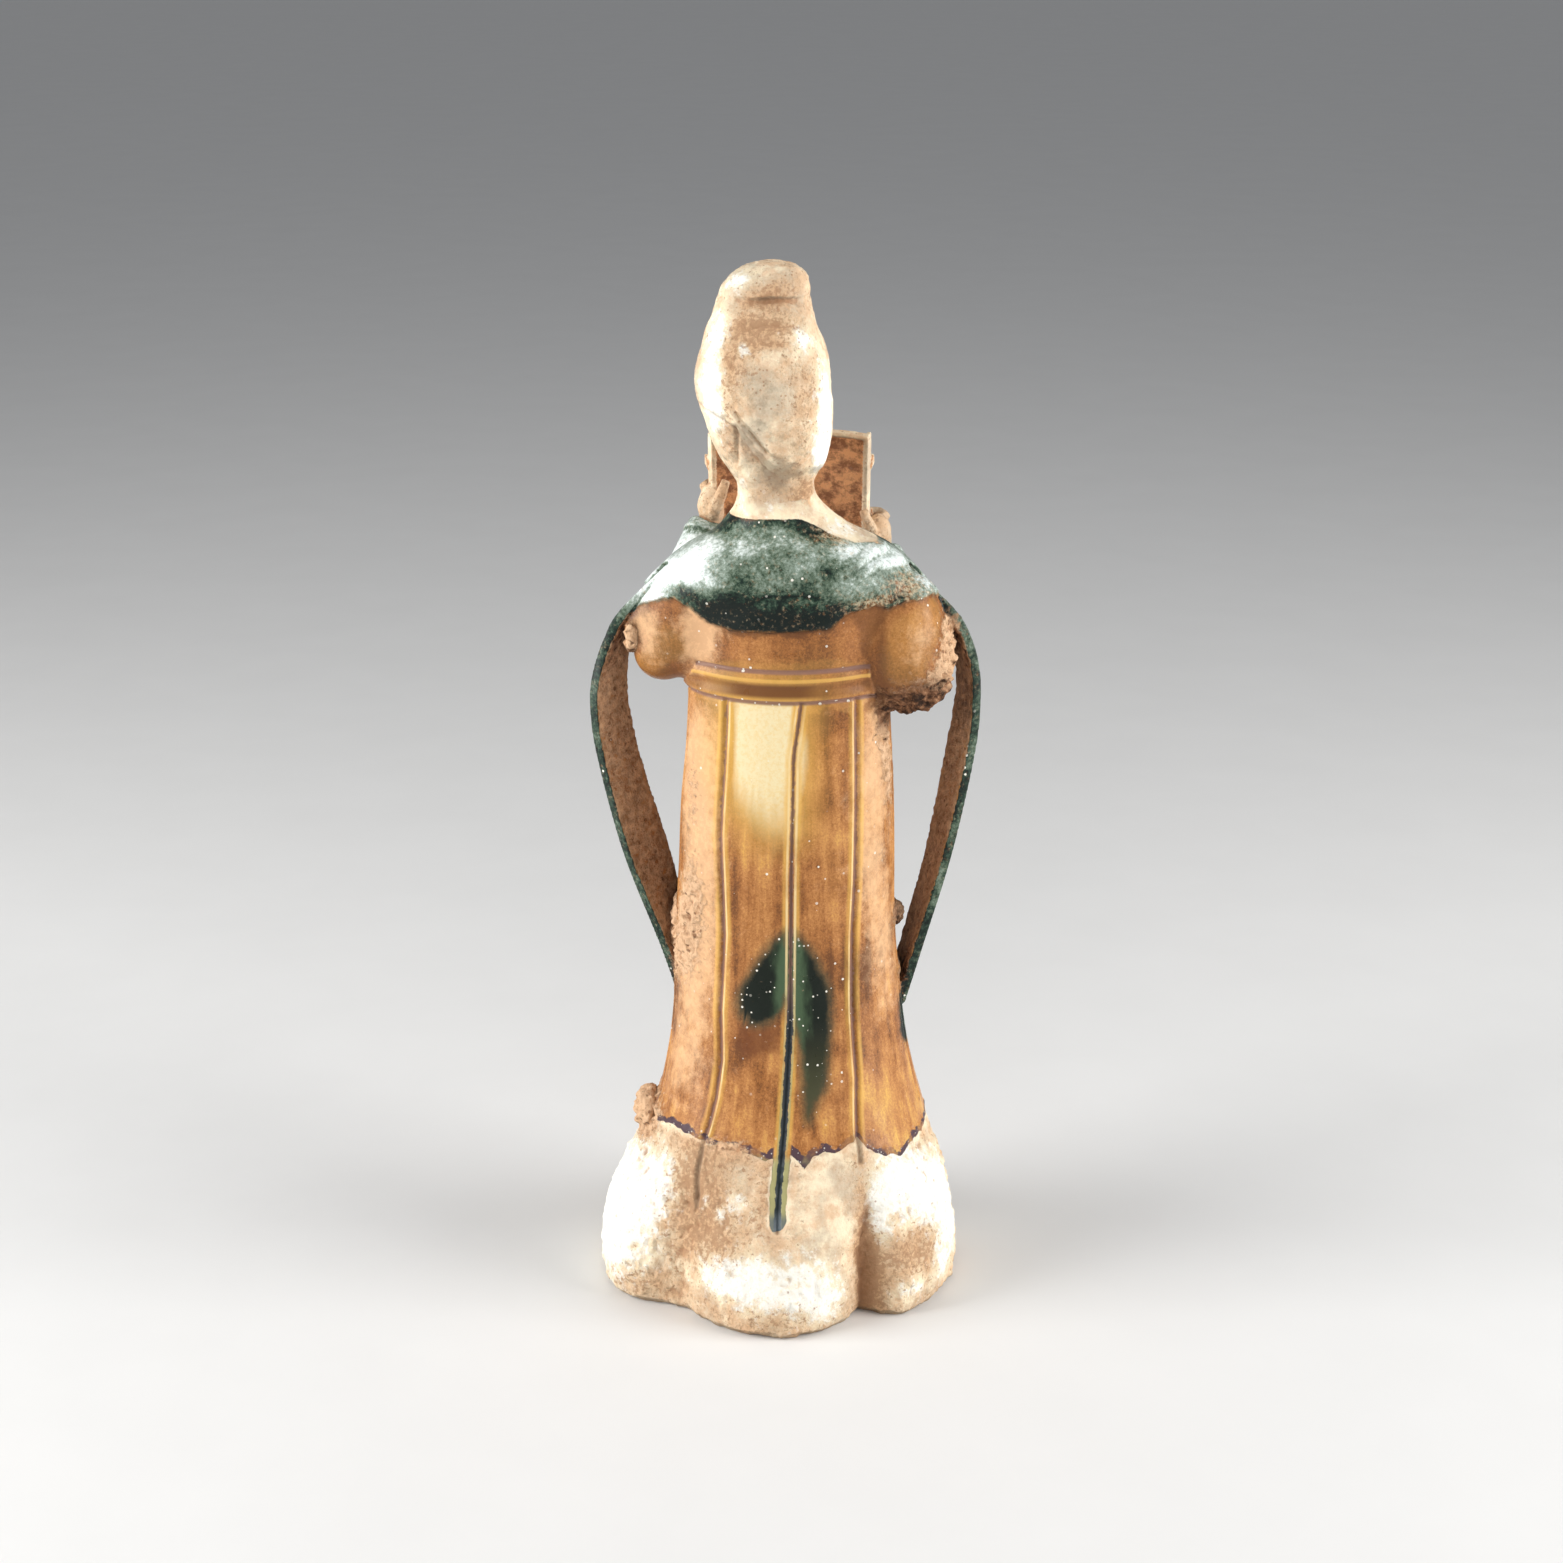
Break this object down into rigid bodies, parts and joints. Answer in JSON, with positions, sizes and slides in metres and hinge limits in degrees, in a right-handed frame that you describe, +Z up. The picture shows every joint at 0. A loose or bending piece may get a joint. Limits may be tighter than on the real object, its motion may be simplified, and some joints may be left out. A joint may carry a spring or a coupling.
{
  "type": "standing musician figure",
  "caption": "Standing lady musician in lead-glazed pottery playing the panpipes, with a high topknot, a green shawl whose ends hang in open side loops, and a flared amber skirt.",
  "frame": {"origin": "on the ground, under the middle of the figure's bounding box", "axes": "+Z up, the face looks along -Y, +X is the figure's own left"},
  "size_m": [0.1028, 0.099, 0.28],
  "materials": {
    "glazed_pottery": "runny amber, green and cream lead glaze with a soft gloss over buff clay; head, neck and hem bare matt clay with brown burial earth"
  },
  "bodies": {
    "root": {"musician_figure": "glazed_pottery"}
  },
  "joints": []
}
